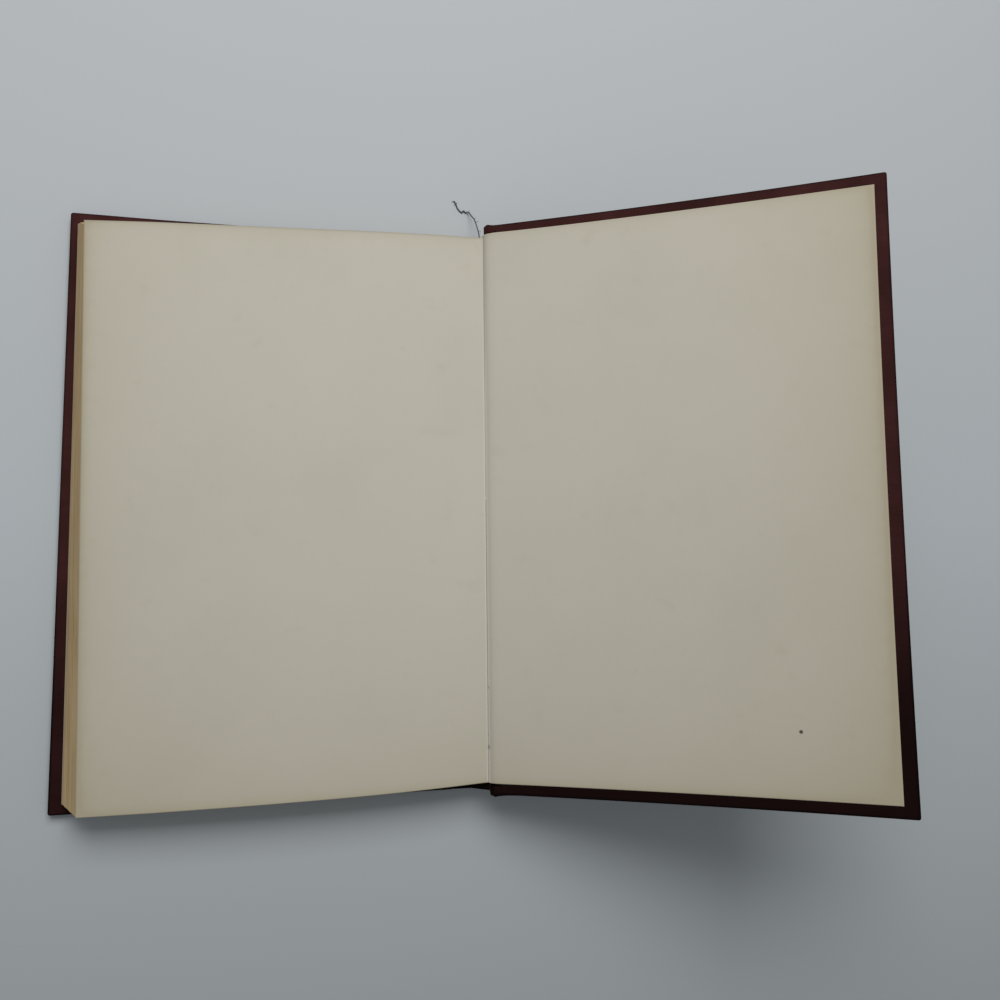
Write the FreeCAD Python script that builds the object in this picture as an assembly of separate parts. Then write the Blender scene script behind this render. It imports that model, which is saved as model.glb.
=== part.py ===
"""A cloth-cased book, open at its rear endpaper.

The front cover lies flat with the text block on it, and the back cover stands
part open on its stiff joint.  Millimetres.  The origin is the centre of the
front cover's outer face, which rests on the table.  +X runs from the fore edge
to the spine, +Y to the head of the book, and +Z up.
"""
import FreeCAD, Part
import math
import os

from FreeCAD import Placement, Rotation, Vector

# Case: two boards and a spine strip in one sheet of book cloth
cover_height = 205.0
cover_width = 134.3
board_thick = 2.6
cloth_thick = 0.4
turn_in = 15.0
corner_radius = 0.8
edge_bevel = 0.3
front_joint_gap = 5.6
back_joint_gap = 4.4
back_cover_angle = 30.0
back_cover_bow = 1.3
back_cover_slip = 1.6

# Text block: it leans towards the spine and its top has slipped to the tail
block_width = 136.4
block_height = 197.4
block_thick = 9.45
block_lean = 5.2
block_crown = 1.7
block_rise = 0.35
base_offset = 1.0
base_angle = 0.5
base_skew_angle = 0.5
top_offset = 1.2
top_angle = 1.5
top_skew_angle = 1.2

# Crown of the block: share of the way to the fore edge, share of the full crown
crown_stations = ((0.17, 0.65), (0.35, 1.0), (0.6, 1.0), (0.83, 0.75))

# Endpapers
paper_thick = 0.15
pastedown_height = 197.9
pastedown_fore_border = 4.3
pastedown_slip = 0.2
paste_film = 0.05
fold_gap = 0.2

# Spine
lining_thick = 0.4
lining_height = 186.0
strip_thick = 0.8
strip_width = 9.6
strip_height = 201.6
hollow = 0.8
spine_slip = 0.8

# Cloth and paper across the joints
front_joint_short = 1.0
back_joint_long = 1.2
joint_clearance = 0.3
joint_under_out = 0.56
joint_under_down = 0.63
groove_out = 1.08
groove_down = 0.32
rolled_end = 3.2
rolled_thick = 0.8
rear_fold_sag = 0.35
front_fold_sag = 0.1
front_joint_dip = 0.7

# Back joint: the pivot stands above the flyleaf, and the cover just off it
back_pivot_rise = 1.25
back_cover_drop = 0.1

# Loose thread from the head of the hollow spine
thread_diameter = 0.45
thread_sides = 6
thread_route = [
    (76.5, 88.0, 9.0),
    (76.6, 91.6, 9.1),
    (76.5, 95.3, 9.0),
    (76.6, 98.9, 9.1),
    (76.9, 102.5, 9.2),
    (77.0, 105.1, 8.3),
    (77.0, 107.9, 6.3),
    (76.8, 110.9, 3.6),
    (76.0, 113.9, 1.2),
    (74.0, 115.6, 0.3),
    (71.6, 115.7, 0.25),
    (70.2, 117.4, 0.25),
    (69.1, 119.5, 0.25),
]

# Share of the shorter run that an arc takes on each side of a corner
arc_share = 0.45

# Levels and places that follow from the sizes above
inner_face = cloth_thick + board_thick
hinge_edge_x = cover_width / 2
front_pivot_x = hinge_edge_x + front_joint_gap
leaf_base = inner_face + paper_thick + block_rise
block_base = leaf_base + paper_thick
block_top = block_base + block_thick
back_pivot = Vector(front_pivot_x + block_lean, 0, block_top + paper_thick + back_pivot_rise)
spine_cloth_height = strip_height + 2 * cloth_thick


def hollow_line(level, bow):
    """Line across a cover at a level, hollowed by bow between its edges and run past them."""
    half = cover_width / 2
    reach = half + turn_in
    if bow == 0:
        return Part.makeLine(Vector(half - reach, 0, level), Vector(half + reach, 0, level))
    radius = (half * half + bow * bow) / (2 * bow)
    rise = radius - math.sqrt(radius * radius - reach * reach)
    ends = [Vector(half + side * reach, 0, level - bow + rise) for side in (-1, 1)]
    return Part.Arc(ends[0], Vector(half, 0, level - bow), ends[1]).toShape()


def cover_slab(low, high, bow):
    """Layer of a cover from level low to high, larger than the cover all round."""
    face = Part.makeRuledSurface(hollow_line(low, bow), hollow_line(high, bow))
    face.translate(Vector(0, -cover_height, 0))
    return face.extrude(Vector(0, 2 * cover_height, 0))


def rounded_prism(inset, radius):
    """Upright prism on the cover's outline, inset all round, with rounded corners."""
    depth = 4 * (board_thick + back_cover_bow)
    box = Part.makeBox(cover_width - 2 * inset, cover_height - 2 * inset, depth,
                       Vector(inset, inset - cover_height / 2, -depth / 2))
    upright = [edge for edge in box.Edges
               if abs(edge.tangentAt(edge.FirstParameter).z) > 0.99]
    return box.makeFillet(radius, upright)


def make_board(bow):
    """Board with a shallow rebate pressed into its inner face by the turn-ins."""
    slab = cover_slab(-board_thick, 0, bow)
    board = slab.common(rounded_prism(cloth_thick, corner_radius - cloth_thick))
    inner = Part.makeBox(cover_width - turn_in, cover_height - 2 * turn_in, cover_height,
                         Vector(0, turn_in - cover_height / 2, -cover_height / 2))
    rebate = cover_slab(-cloth_thick, 0, bow).cut(inner)
    return board.cut(rebate)


def make_cover_cloth(board, bow):
    """Cloth round the board: outer face, four edges and three turn-ins."""
    shell = cover_slab(-board_thick - cloth_thick, 0, bow).common(rounded_prism(0, corner_radius))
    outline = [edge for edge in shell.Edges if lies_on_rim(edge, bow)]
    return shell.makeChamfer(edge_bevel, outline).cut(board)


def lies_on_rim(edge, bow):
    """True for an edge round the outer face of the cover."""
    middle = edge.valueAt((edge.FirstParameter + edge.LastParameter) / 2)
    across = middle.x / cover_width
    outer_level = -board_thick - cloth_thick - 4 * bow * across * (1 - across)
    upright = abs(edge.tangentAt(edge.FirstParameter).z) > 0.9
    return abs(middle.z - outer_level) < cloth_thick / 2 and not upright


def make_pastedown(bow):
    """Endpaper pasted inside the cover, from its hinge edge to the turn-in's border."""
    sheet = cover_slab(paste_film, paste_film + paper_thick, bow)
    trim = Part.makeBox(cover_width - pastedown_fore_border, pastedown_height, cover_height,
                        Vector(0, pastedown_slip - pastedown_height / 2, -cover_height / 2))
    return sheet.common(trim)


def front_cover_place():
    """Front cover: inner face up, hinge edge towards the spine."""
    turned = Rotation(Vector(0, 0, 1), 180)
    return Placement(Vector(hinge_edge_x, 0, inner_face), turned)


def back_cover_place():
    """Back cover: swung up from level by its angle about the back pivot."""
    swing = Rotation(Vector(0, 1, 0), -back_cover_angle)
    offset = Vector(back_joint_gap, back_cover_slip, -back_cover_drop - paper_thick)
    return Placement(back_pivot + swing.multVec(offset), swing)


def placed(shape, place):
    """Copy of the shape moved to its place."""
    moved = shape.copy()
    moved.Placement = place.multiply(moved.Placement)
    return moved


def block_edge(spine_x, offset, slope, skew, side, level, crown):
    """Head (side 1) or tail (side -1) edge of the block at a level, from spine to fore edge."""
    half = block_height / 2
    spine_end = Vector(spine_x, offset + side * half, level)
    lean = math.radians(slope)
    turn = math.radians(skew)
    fore_end = Vector(spine_x - block_width * math.cos(lean) - side * half * math.sin(turn),
                      offset - block_width * math.sin(lean) + side * half * math.cos(turn), level)
    if crown == 0:
        return Part.makeLine(spine_end, fore_end)
    points = [spine_end]
    for share, height in crown_stations:
        points.append(spine_end + (fore_end - spine_end) * share + Vector(0, 0, crown * height))
    points.append(fore_end)
    curve = Part.BSplineCurve()
    curve.interpolate(points)
    return curve.toShape()


def solid_between(head_low, head_high, tail_low, tail_high):
    """Solid with ruled faces between four edges that run the same way."""
    def ends(edge):
        return edge.valueAt(edge.FirstParameter), edge.valueAt(edge.LastParameter)

    faces = [Part.makeRuledSurface(head_low, tail_low), Part.makeRuledSurface(head_high, tail_high),
             Part.makeRuledSurface(head_low, head_high), Part.makeRuledSurface(tail_low, tail_high)]
    for end in (0, 1):
        low = Part.makeLine(ends(head_low)[end], ends(tail_low)[end])
        high = Part.makeLine(ends(head_high)[end], ends(tail_high)[end])
        faces.append(Part.makeRuledSurface(low, high))
    shell = Part.makeShell(faces)
    shell.sewShape()
    solid = Part.makeSolid(shell)
    if solid.Volume < 0:
        solid.reverse()
    return solid


def base_edges(level):
    """Head and tail edges of the block's lower side."""
    return [block_edge(front_pivot_x, base_offset, base_angle, base_skew_angle, side, level, 0)
            for side in (1, -1)]


def top_edges(level):
    """Head and tail edges of the block's crowned upper side."""
    return [block_edge(front_pivot_x + block_lean, top_offset, top_angle, top_skew_angle, side,
                       level, block_crown) for side in (1, -1)]


def make_text_block():
    """Sewn and trimmed leaves as one solid, leaning and crowned."""
    base_head, base_tail = base_edges(block_base)
    top_head, top_tail = top_edges(block_top)
    return solid_between(base_head, top_head, base_tail, top_tail)


def make_flyleaf(edges, level):
    """Free endpaper that lies on one side of the block."""
    low_head, low_tail = edges(level)
    high_head, high_tail = edges(level + paper_thick)
    return solid_between(low_head, high_head, low_tail, high_tail)


def spine_place():
    """Frame on the block's spine: X up the slope, Y to the tail, Z outwards."""
    slope = Vector(block_lean, 0, block_thick).normalize()
    outward = Vector(block_thick, 0, -block_lean).normalize()
    frame = FreeCAD.Matrix(slope.x, 0, outward.x, front_pivot_x,
                           0, -1, 0, 0,
                           slope.z, 0, outward.z, block_base,
                           0, 0, 0, 1)
    return Placement(frame)


spine_width = math.hypot(block_lean, block_thick)
strip_start = (spine_width - strip_width) / 2
strip_floor = lining_thick + hollow + cloth_thick


def spine_box(start, width, height, low, thick):
    """Upright box in the spine's frame, its middle slipped towards the head."""
    return Part.makeBox(width, height, thick, Vector(start, -spine_slip - height / 2, low))


def make_spine_lining():
    """Cloth and paper lining glued over the backs of the sections."""
    return placed(spine_box(0, spine_width, lining_height, 0, lining_thick), spine_place())


def make_spine_strip():
    """Card strip that stiffens the hollow back."""
    return placed(spine_box(strip_start, strip_width, strip_height, strip_floor, strip_thick), spine_place())


def make_spine_cloth():
    """Cloth over the strip, turned in over its head and tail."""
    inner_level = strip_floor - cloth_thick
    open_height = spine_cloth_height - 2 * turn_in
    wrap = spine_box(strip_start, strip_width, spine_cloth_height, inner_level, strip_thick + 2 * cloth_thick)
    core = spine_box(strip_start, strip_width, strip_height, strip_floor, strip_thick)
    open_side = spine_box(strip_start, strip_width, open_height, inner_level, cloth_thick)
    return placed(wrap.cut(core).cut(open_side), spine_place())


def smooth_path(points):
    """Straight runs through the points, joined by tangent arcs, and the arcs' radii."""
    edges = []
    radii = []
    last = points[0]
    for before, corner, after in zip(points, points[1:], points[2:]):
        back = before - corner
        ahead = after - corner
        turn = math.pi - back.getAngle(ahead)
        reach = arc_share * min(back.Length, ahead.Length)
        radius = reach / math.tan(turn / 2)
        back.normalize()
        ahead.normalize()
        enter = corner + back * reach
        leave = corner + ahead * reach
        middle = corner + (back + ahead).normalize() * (radius / math.cos(turn / 2) - radius)
        edges.append(Part.LineSegment(last, enter).toShape())
        edges.append(Part.Arc(enter, middle, leave).toShape())
        radii.append(radius)
        last = leave
    edges.append(Part.LineSegment(last, points[-1]).toShape())
    return Part.Wire(edges), radii


def bent_sheet(points, inner, outer, tail_y, head_y):
    """Sheet bent along a smooth path across the book, its faces offset to each side."""
    path, _ = smooth_path(points)
    side = Vector(0, 1, 0).cross(points[1] - points[0]).normalize()
    corners = [points[0] + side * offset + Vector(0, y, 0)
               for offset, y in ((inner, tail_y), (outer, tail_y), (outer, head_y), (inner, head_y))]
    return path.makePipeShell([Part.makePolygon(corners + corners[:1])], True, False)


def strip_corner(along):
    """Middle of the spine cloth's outer layer, at a distance up the slope."""
    return spine_place().multVec(Vector(along, 0, strip_floor + strip_thick + cloth_thick / 2))


def cover_point(place, across, level):
    """Point of a cover's own frame, brought to the middle plane of the book."""
    point = place.multVec(Vector(across, 0, level))
    return Vector(point.x, 0, point.z)


def joint_trim(points, slip, height, inset):
    """Prism over a joint, its ends sloping to the spine cloth's ends along the line's last leg."""
    strip_end = points[-1]
    along = (points[0] - strip_end).normalize()
    leg = (points[-2] - strip_end).dot(along)
    side = along.cross(Vector(0, 1, 0)) * turn_in
    spine_half = spine_cloth_height / 2 - inset
    cover_half = height / 2 - inset
    stations = [(-turn_in, spine_slip, spine_half), (0, spine_slip, spine_half),
                (leg, slip, cover_half), (turn_in, slip, cover_half)]
    tails = [strip_end - side + along * run + Vector(0, middle - half, 0)
             for run, middle, half in stations]
    heads = [tail + Vector(0, 2 * half, 0) for tail, (_, _, half) in zip(tails, stations)]
    outline = Part.makePolygon(tails + heads[::-1] + tails[:1])
    return Part.Face(outline).extrude(side * 2)


def make_joint_cloth(points, slip, height, outward):
    """Bare cloth across a joint, thickened on its outer side where it is turned in at the ends."""
    rolled = sorted((-outward * cloth_thick / 2, outward * (rolled_thick - cloth_thick / 2)))
    cloth = bent_sheet(points, -cloth_thick / 2, cloth_thick / 2, -cover_height, cover_height)
    turned = bent_sheet(points, rolled[0], rolled[1], -cover_height, cover_height)
    turned = turned.cut(joint_trim(points, slip, height, rolled_end))
    return cloth.fuse(turned).common(joint_trim(points, slip, height, 0)).removeSplitter()


def rear_fold_points():
    """Line of the rear endpaper across the open joint, from flyleaf to pastedown."""
    start = Vector(back_pivot.x + fold_gap, 0, block_top + paper_thick / 2)
    end = cover_point(back_cover_place(), -fold_gap, paper_thick / 2)
    return [start, (start + end) / 2 - Vector(0, 0, rear_fold_sag), end]


def front_fold_points():
    """Line of the front endpaper across the closed joint, from flyleaf to pastedown."""
    start = Vector(front_pivot_x - paper_thick, 0, leaf_base - paper_thick)
    end = cover_point(front_cover_place(), -fold_gap, paper_thick / 2)
    return [start, (start + end) / 2 - Vector(0, 0, front_fold_sag), end]


def make_back_joint_cloth():
    """Joint cloth from the back cover's hinge edge, under the endpaper, round to the spine strip."""
    fold_start, fold_middle, _ = rear_fold_points()
    cover_end = cover_point(back_cover_place(), -3 * joint_clearance, -2 * cloth_thick)
    under = Vector(joint_under_out, 0, -joint_under_down)
    groove = fold_start + Vector(groove_out, 0, -groove_down)
    strip_end = strip_corner(strip_start + strip_width + joint_clearance)
    points = [cover_end, fold_middle + under, groove, strip_end]
    return make_joint_cloth(points, back_cover_slip, cover_height + back_joint_long, -1)


def make_front_joint_cloth():
    """Joint cloth from the front cover's hinge edge across to the spine strip."""
    cover_end = cover_point(front_cover_place(), -2 * joint_clearance, -cloth_thick)
    strip_end = strip_corner(strip_start - joint_clearance)
    dip = (cover_end + strip_end) / 2 - Vector(0, 0, front_joint_dip)
    return make_joint_cloth([cover_end, dip, strip_end], 0, cover_height - front_joint_short, 1)


def make_hinge_paper(points, slip):
    """Narrow stretch of endpaper between the flyleaf and the pastedown."""
    return bent_sheet(points, -paper_thick / 2, paper_thick / 2,
                      slip - pastedown_height / 2, slip + pastedown_height / 2)


def make_rear_hinge_paper():
    """Rear endpaper across the open joint."""
    return make_hinge_paper(rear_fold_points(), (back_cover_slip + pastedown_slip + top_offset) / 2)


def make_front_hinge_paper():
    """Front endpaper across the closed joint."""
    return make_hinge_paper(front_fold_points(), pastedown_slip)


def make_thread():
    """Thin thread along its route, with a six-sided section."""
    points = [Vector(*point) for point in thread_route]
    path, radii = smooth_path(points)
    start, heading = points[0], points[1] - points[0]
    ring = Part.makeCircle(thread_diameter / 2, start, heading).discretize(thread_sides + 1)
    tube = path.makePipeShell([Part.makePolygon(ring)], True, False)
    section = thread_sides / 2 * math.sin(2 * math.pi / thread_sides) * (thread_diameter / 2) ** 2
    print("thread radii", " ".join("%.1f" % radius for radius in radii))
    print("thread length %.1f, volume over section %.1f" % (path.Length, tube.Volume / section))
    return tube


def build():
    """Every piece of the book, by name."""
    front, back = front_cover_place(), back_cover_place()
    front_board = make_board(0)
    back_board = make_board(back_cover_bow)
    return {
        "text_block": make_text_block(),
        "rear_flyleaf": make_flyleaf(top_edges, block_top),
        "front_flyleaf": make_flyleaf(base_edges, leaf_base),
        "rear_pastedown": placed(make_pastedown(back_cover_bow), back),
        "front_pastedown": placed(make_pastedown(0), front),
        "rear_hinge_paper": make_rear_hinge_paper(),
        "front_hinge_paper": make_front_hinge_paper(),
        "back_board": placed(back_board, back),
        "front_board": placed(front_board, front),
        "back_cover_cloth": placed(make_cover_cloth(back_board, back_cover_bow), back),
        "front_cover_cloth": placed(make_cover_cloth(front_board, 0), front),
        "back_joint_cloth": make_back_joint_cloth(),
        "front_joint_cloth": make_front_joint_cloth(),
        "spine_lining": make_spine_lining(),
        "spine_strip": make_spine_strip(),
        "spine_cloth": make_spine_cloth(),
        "loose_thread": make_thread(),
    }


os.makedirs("parts", exist_ok=True)
for name, shape in build().items():
    shape.exportStep("parts/" + name + ".step")
    print("%-18s %s solids %d volume %.1f" % (name, shape.isValid(), len(shape.Solids), shape.Volume))
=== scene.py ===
"""Looks of the open cloth-cased book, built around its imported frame.

Metres, in the frame of the solids: the origin is the centre of the front cover's
outer face, +X runs from the fore edge to the spine, +Y to the head, +Z up.
"""
import math

import bpy
import numpy as np
from mathutils import Euler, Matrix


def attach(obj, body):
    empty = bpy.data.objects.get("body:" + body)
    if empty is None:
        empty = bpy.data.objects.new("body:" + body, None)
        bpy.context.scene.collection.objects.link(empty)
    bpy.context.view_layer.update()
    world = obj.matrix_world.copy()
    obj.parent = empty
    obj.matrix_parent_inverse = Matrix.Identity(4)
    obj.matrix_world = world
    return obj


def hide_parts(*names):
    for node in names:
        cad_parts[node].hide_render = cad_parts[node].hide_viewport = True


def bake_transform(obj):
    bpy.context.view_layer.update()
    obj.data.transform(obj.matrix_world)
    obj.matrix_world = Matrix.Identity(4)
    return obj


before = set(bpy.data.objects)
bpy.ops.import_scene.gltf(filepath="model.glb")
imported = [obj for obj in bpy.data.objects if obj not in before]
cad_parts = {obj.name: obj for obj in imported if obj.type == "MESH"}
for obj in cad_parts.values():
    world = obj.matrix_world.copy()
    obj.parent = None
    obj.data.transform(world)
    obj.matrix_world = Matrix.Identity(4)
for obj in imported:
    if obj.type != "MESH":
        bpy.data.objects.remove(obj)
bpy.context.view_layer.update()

MM = 0.001

# Case, as in the solids
COVER_HEIGHT = 205.0 * MM
COVER_WIDTH = 134.3 * MM
BOARD_THICK = 2.6 * MM
CLOTH_THICK = 0.4 * MM
CORNER_RADIUS = 0.8 * MM
FRONT_JOINT_GAP = 5.6 * MM
BACK_JOINT_GAP = 4.4 * MM
BACK_COVER_ANGLE = math.radians(30.0)
BACK_COVER_BOW = 1.3 * MM
BACK_COVER_SLIP = 1.6 * MM
INNER_FACE = CLOTH_THICK + BOARD_THICK
OUTER_LEVEL = -INNER_FACE

# Text block, as in the solids
BLOCK_WIDTH = 136.4 * MM
BLOCK_HEIGHT = 197.4 * MM
BLOCK_THICK = 9.45 * MM
BLOCK_LEAN = 5.2 * MM
BLOCK_CROWN = 1.7 * MM
BLOCK_RISE = 0.35 * MM
BASE_PLAN = (1.0 * MM, math.radians(0.5), math.radians(0.5))
TOP_PLAN = (1.2 * MM, math.radians(1.5), math.radians(1.2))
CROWN_STATIONS = (0.0, 0.17, 0.35, 0.6, 0.83, 1.0)
CROWN_SHARES = (0.0, 0.65, 1.0, 1.0, 0.75, 0.0)

# Endpapers and spine, as in the solids
PAPER_THICK = 0.15 * MM
PASTE_FILM = 0.05 * MM
PASTEDOWN_HEIGHT = 197.9 * MM
PASTEDOWN_FORE_BORDER = 4.3 * MM
PASTEDOWN_SLIP = 0.2 * MM
LINING_THICK = 0.4 * MM
HOLLOW = 0.8 * MM
STRIP_THICK = 0.8 * MM
STRIP_WIDTH = 9.6 * MM
STRIP_HEIGHT = 201.6 * MM
SPINE_SLIP = 0.8 * MM
TURN_IN = 15.0 * MM
FRONT_JOINT_HEIGHT = COVER_HEIGHT - 1.0 * MM
BACK_JOINT_HEIGHT = COVER_HEIGHT + 1.2 * MM
ROLLED_END = 3.2 * MM

# Places that follow
FRONT_HINGE_X = COVER_WIDTH / 2
FRONT_PIVOT = np.array([FRONT_HINGE_X + FRONT_JOINT_GAP, 0.0, INNER_FACE])
LEAF_BASE = INNER_FACE + PAPER_THICK + BLOCK_RISE
BLOCK_BASE = LEAF_BASE + PAPER_THICK
BLOCK_TOP = BLOCK_BASE + BLOCK_THICK
BACK_PIVOT_RISE = 1.25 * MM
SPINE_TOP_X = FRONT_PIVOT[0] + BLOCK_LEAN
BACK_PIVOT = np.array([SPINE_TOP_X, 0.0, BLOCK_TOP + PAPER_THICK + BACK_PIVOT_RISE])
BACK_COVER_DROP = 0.1 * MM
SPINE_WIDTH = math.hypot(BLOCK_LEAN, BLOCK_THICK)
STRIP_START = (SPINE_WIDTH - STRIP_WIDTH) / 2
STRIP_OUTER = LINING_THICK + HOLLOW + 2 * CLOTH_THICK + STRIP_THICK

# Look of the cloth: round of its edges, reach of the painted shade along them and towards the tail,
# and each cover's painted shade: all over, and added at the tail
EDGE_ROUND = 0.35 * MM
EDGE_SHADE_REACH = 0.45 * MM
SHADE_REACH = 80 * MM
BACK_COVER_SHADE = (0.1, 0.78)
FRONT_COVER_SHADE = (0.0, 0.6)

# Look of the leaves: leaves drawn along the edges, and leaves in a gathering
LEAF_COUNT = 58
GATHERING = 8

# Gutter: the crease stands off the block's spine edge, more towards the tail
CREASE_OFF = 0.05 * MM
CREASE_TURN = 0.5 * MM

# Rear endpaper's spots: distance from the crease and from mid-height, radius, strength
ENDPAPER_SPOTS = (((105.9 * MM, -77.6 * MM), 0.75 * MM, 1.3),
                  ((0.7 * MM, -86.5 * MM), 1.1 * MM, 0.5),
                  ((0.9 * MM, -65.9 * MM), 0.6 * MM, 0.4))

# Flyleaf's tail edge: y shift in mm as a polynomial of the share of the way to the fore edge
TAIL_CURVE = (-0.35, 4.911, -6.529, 2.368)

# Rear endpaper's knee between block and cover, from where it meets the cover
REAR_KNEE = np.array([-2.82, 0, -1.59]) * MM


def random_waves(seed, count, shortest, longest):
    """Returns f(a, b), a sum of `count` cosines of random direction, phase and wavelength, within -1 to 1."""
    rng = np.random.default_rng(seed)
    angle = rng.uniform(0, 2 * np.pi, count)
    wavelength = np.exp(rng.uniform(np.log(shortest), np.log(longest), count))
    phase = rng.uniform(0, 2 * np.pi, count)

    def waves(a, b):
        a, b = np.broadcast_arrays(np.asarray(a, float), np.asarray(b, float))
        along = a[..., None] * np.cos(angle) + b[..., None] * np.sin(angle)
        return np.cos(2 * np.pi * along / wavelength + phase).sum(-1) / count

    return waves


def smooth_step(low, high, x):
    """3t^2 - 2t^3, where t is x's share of the way from low to high, held within 0 to 1."""
    t = np.clip((x - low) / (high - low), 0, 1)
    return t * t * (3 - 2 * t)


def rimmed(low, high, rims, step):
    """Positions from low to high: the rim distances in from both ends, even steps between."""
    rims = np.asarray(rims)
    inner_low, inner_high = low + rims[-1], high - rims[-1]
    count = max(2, int(round((inner_high - inner_low) / step)))
    middle = np.linspace(inner_low, inner_high, count + 1)[1:-1]
    return np.concatenate([low + rims, middle, (high - rims)[::-1]])


def round_rims(radius, count):
    """Distances in from an edge that sample its quarter round: r(1 - cos a), a from 0 to 90 degrees."""
    return radius * (1 - np.cos(np.linspace(0, np.pi / 2, count)))


def stretches(stops, counts):
    """Positions from the first stop to the last: a count of even places over each stretch, ends shared."""
    parts = [np.linspace(*ends, count) for *ends, count in zip(stops, stops[1:], counts)]
    return np.concatenate([parts[0]] + [part[1:] for part in parts[1:]])


def distance_run(points):
    """Distance run along a line of points, 0 at the first."""
    return np.concatenate([[0], np.cumsum(np.linalg.norm(np.diff(points, axis=0), axis=1))])


def points_at(places, run, points):
    """Points of a line at the given places of its run, by straight steps between its points."""
    return np.stack([np.interp(places, run, points[:, k]) for k in range(points.shape[1])], axis=-1)


def fold_curve(turn, start, leave, enter, end):
    """Cubic curve from start to end, drawn towards two points between, over turn from 0 to 1.

    With v = 1 - turn: v^3 start + 3 v^2 turn leave + 3 v turn^2 enter + turn^3 end.
    """
    return ((1 - turn) ** 3 * start + 3 * turn * (1 - turn) ** 2 * leave
            + 3 * turn ** 2 * (1 - turn) * enter + turn ** 3 * end)


def round_stand_back(depth_in):
    """Stand-back of a face at a depth d inside its outline: r - sqrt(r^2 - (r - d)^2), a quarter round."""
    inside = np.clip(depth_in, 0, EDGE_ROUND)
    return EDGE_ROUND - np.sqrt(EDGE_ROUND ** 2 - (EDGE_ROUND - inside) ** 2)


def grid_quads(rows, columns, start=0):
    """Quads of a rows by columns grid of vertices numbered row by row from start."""
    first = start + (np.arange(rows - 1)[:, None] * columns + np.arange(columns - 1)[None, :]).ravel()
    return np.stack([first, first + 1, first + 1 + columns, first + columns], axis=1)


def add_object(name, data):
    """Object for a mesh, curve, lamp or camera, in the scene's collection."""
    made = bpy.data.objects.new(name, data)
    bpy.context.scene.collection.objects.link(made)
    return made


def mesh_piece(name, points, quads, uv, material, attributes):
    """Smooth mesh object from vertex points, quads, one UV per vertex and named vertex values."""
    mesh = bpy.data.meshes.new(name)
    mesh.vertices.add(len(points))
    mesh.vertices.foreach_set("co", np.ascontiguousarray(points, dtype=np.float32).ravel())
    mesh.loops.add(quads.size)
    mesh.loops.foreach_set("vertex_index", quads.astype(np.int32).ravel())
    mesh.polygons.add(len(quads))
    mesh.polygons.foreach_set("loop_start", np.arange(0, quads.size, 4, dtype=np.int32))
    mesh.update(calc_edges=True)
    mesh.polygons.foreach_set("use_smooth", np.ones(len(quads), dtype=bool))
    layer = mesh.uv_layers.new(name="UVMap")
    layer.data.foreach_set("uv", uv[quads.ravel()].astype(np.float32).ravel())
    for key, values in attributes.items():
        layer = mesh.attributes.new(key, "FLOAT", "POINT")
        layer.data.foreach_set("value", np.asarray(values, dtype=np.float32).ravel())
    mesh.materials.append(material)
    mesh.validate()
    return add_object(name, mesh)


def closed_shell(name, upper, lower, uv, material, attributes=None):
    """Closed sheet from two grids of the same size, joined by a wall along their four borders.

    The upper grid faces outwards, so rows times columns run anticlockwise seen from above it.
    """
    rows, columns = upper.shape[:2]
    size = rows * columns
    top = grid_quads(rows, columns)
    bottom = grid_quads(rows, columns, size)[:, ::-1]
    index = np.arange(size).reshape(rows, columns)
    border = np.concatenate([index[0, :-1], index[:-1, -1], index[-1, :0:-1], index[:0:-1, 0]])
    after = np.roll(border, -1)
    wall = np.stack([border, border + size, after + size, after], axis=1)
    points = np.concatenate([upper.reshape(-1, 3), lower.reshape(-1, 3)])
    quads = np.concatenate([top, bottom, wall])
    uv = np.concatenate([uv.reshape(-1, 2)] * 2)
    values = {key: np.concatenate([np.asarray(v).ravel()] * 2) for key, v in (attributes or {}).items()}
    return mesh_piece(name, points, quads, uv, material, values)


def grid_normals(points):
    """Unit normals of a grid of points: cross product of its row and column differences."""
    down = np.gradient(points, axis=0)
    across = np.gradient(points, axis=1)
    normals = np.cross(across, down)
    return normals / np.linalg.norm(normals, axis=-1, keepdims=True)


def paper_sheet(name, middle, uv, material, attributes):
    """Closed sheet one paper thick, half of it on each side of a grid of middle points."""
    offset = PAPER_THICK / 2 * grid_normals(middle)
    return closed_shell(name, middle + offset, middle - offset, uv, material, attributes)


def on_back_cover(across, along, level):
    """Cover's own coordinates, swung 30 degrees up from level about the back pivot.

    With t = 2 along / height and u = across / width, the fore edge is hollowed by
    0.46 u^2 (1 - t^2) mm and set in by 0.03 u mm, the head stands 0.38 t mm
    further out, and the tail (0.1 + 0.25 u^2) t mm.
    """
    c, s = math.cos(BACK_COVER_ANGLE), math.sin(BACK_COVER_ANGLE)
    side, wide = along / (COVER_HEIGHT / 2), across / COVER_WIDTH
    x = BACK_JOINT_GAP + across - 0.46 * MM * wide ** 2 * (1 - side ** 2) - 0.03 * MM * wide
    along = along + np.where(side > 0, 0.38, 0.1 + 0.25 * wide ** 2) * MM * side
    z = level - BACK_COVER_DROP - PAPER_THICK
    return np.stack([BACK_PIVOT[0] + c * x - s * z, BACK_COVER_SLIP + along + 0 * x,
                     BACK_PIVOT[2] + s * x + c * z], axis=-1)


def on_front_cover(across, along, level):
    """Cover's own coordinates, turned half round about the vertical onto the table.

    The board is cut out of square: its tail draws in by up to 1.5 mm towards the
    joint, and the fore corner at the head stands out by 0.3 mm.
    """
    side, wide = along / (COVER_HEIGHT / 2), across / COVER_WIDTH
    along = along - np.where(side > 0, 1.5 * (1 - wide), -0.3 * smooth_step(0.74, 1, wide)) * MM * side
    return np.stack([FRONT_HINGE_X - across, -along + 0 * across, INNER_FACE + level + 0 * across], axis=-1)


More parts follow.
